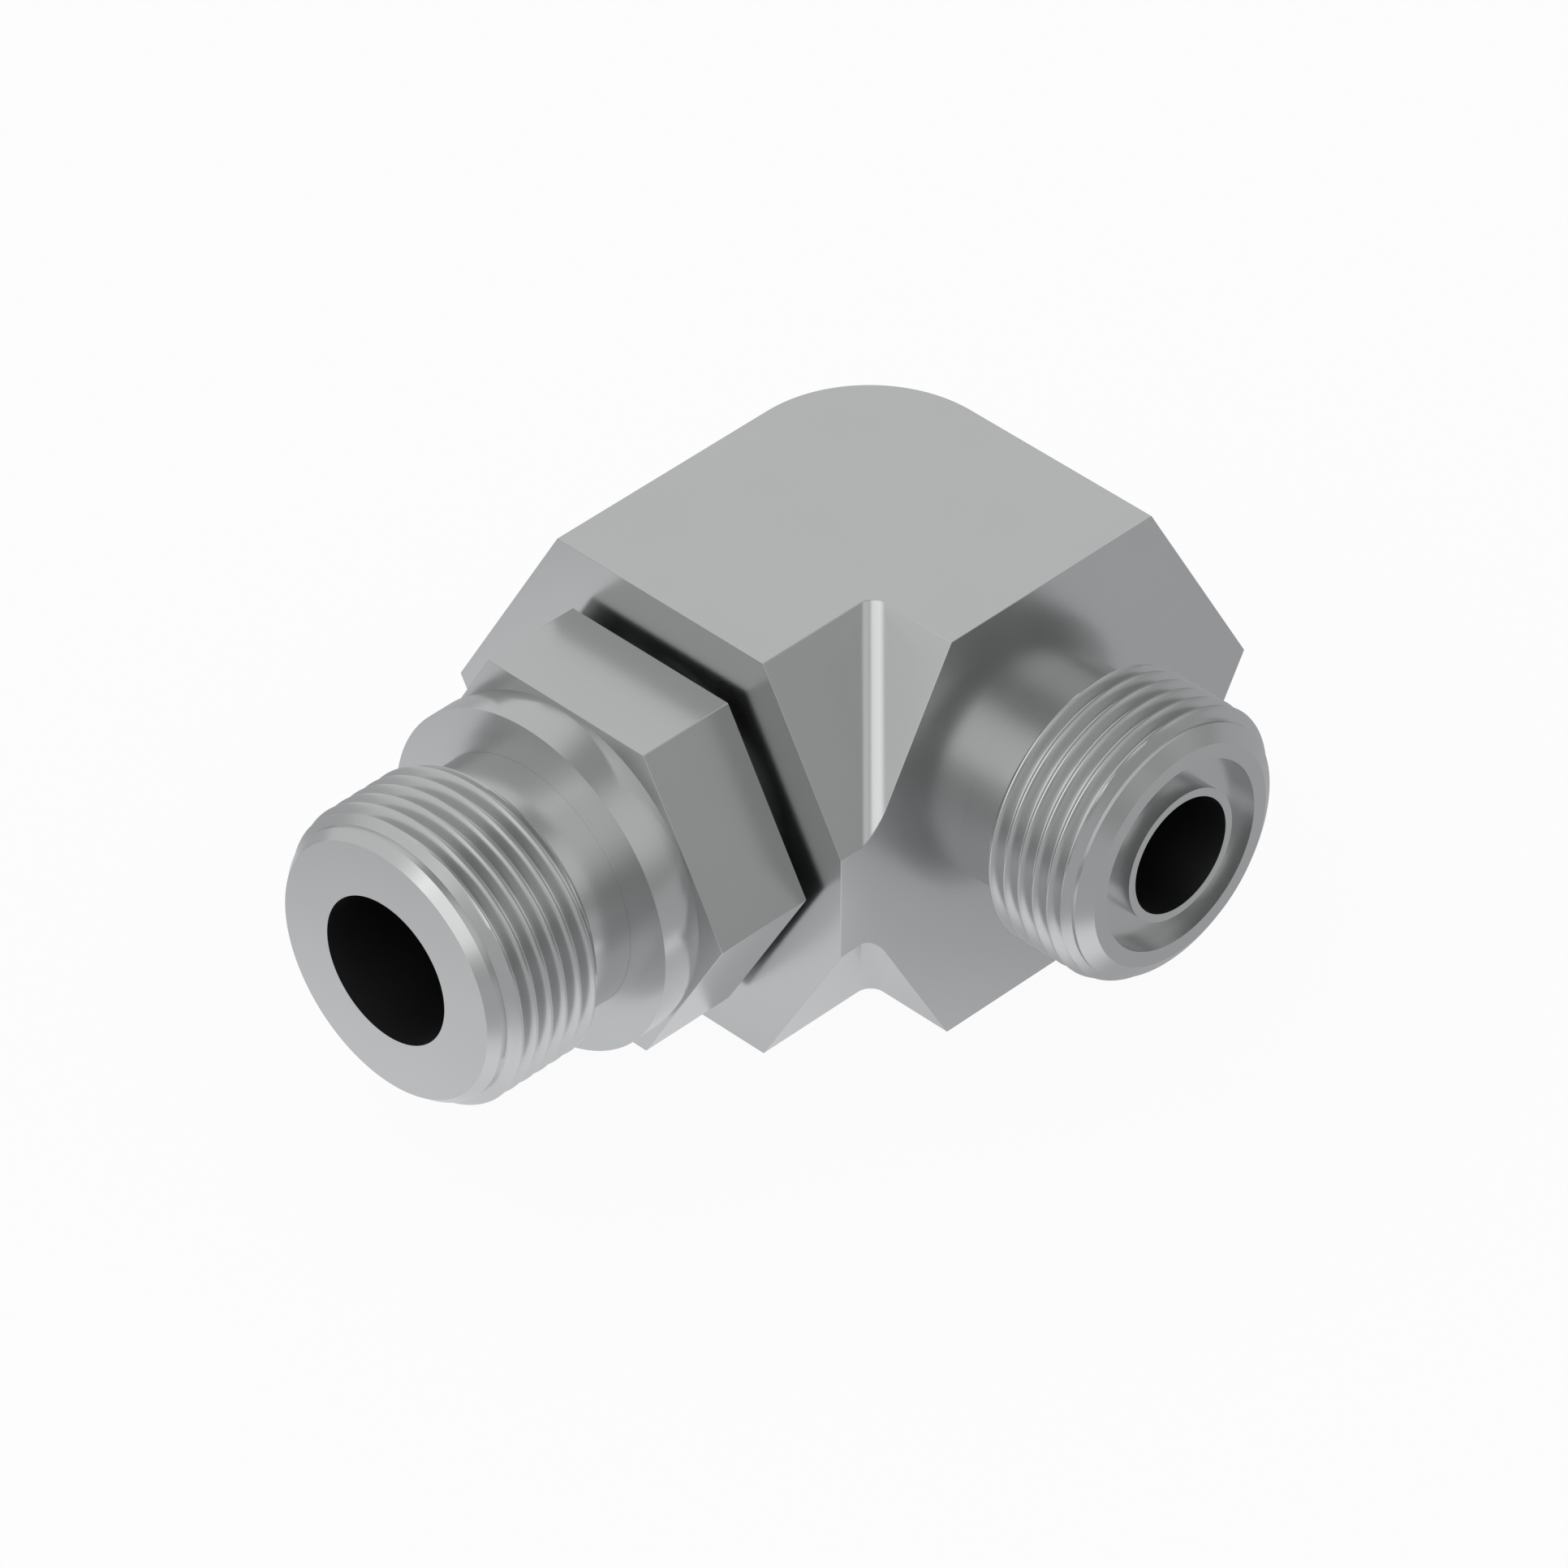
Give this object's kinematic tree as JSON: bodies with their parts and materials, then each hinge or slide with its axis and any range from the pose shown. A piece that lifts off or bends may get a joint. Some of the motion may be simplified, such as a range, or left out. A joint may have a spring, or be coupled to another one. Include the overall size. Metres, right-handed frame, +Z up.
{
  "type": "hydraulic elbow adapter",
  "caption": "Hydraulic elbow adapter, 90 degrees: mitred hexagon forging, adjustable stud end with lock nut and backup washer, and a male face-seal end.",
  "frame": {"origin": "on the forging's bottom flat, right under the crossing of the two flow axes", "axes": "stud end along -Y, face-seal end along +X, +Z up; both flow axes lie half the hexagon above the bottom flat"},
  "size_m": [0.0486, 0.0653, 0.0336],
  "materials": {
    "forging": "satin zinc plate",
    "nut": "satin zinc plate",
    "washer": "satin zinc plate"
  },
  "bodies": {
    "elbow": {"elbow_body": "forging"},
    "washer": {"backup_washer": "washer"},
    "nut": {"lock_nut": "nut"}
  },
  "joints": [
    {"name": "washer_slide", "type": "slide", "parent": "elbow", "child": "washer", "axis": [0, -1, 0], "range_m": [-0.00075, 0.003]},
    {"name": "nut_turn", "type": "hinge", "parent": "washer", "child": "nut", "pos_m": [0, -0.025, 0.0168], "axis": [0, -1, 0], "range_deg": [-200, 805]}
  ],
  "couplings": [
    {"joint": "washer_slide", "follows": "nut_turn", "m_per_rad": 0.00021327}
  ]
}
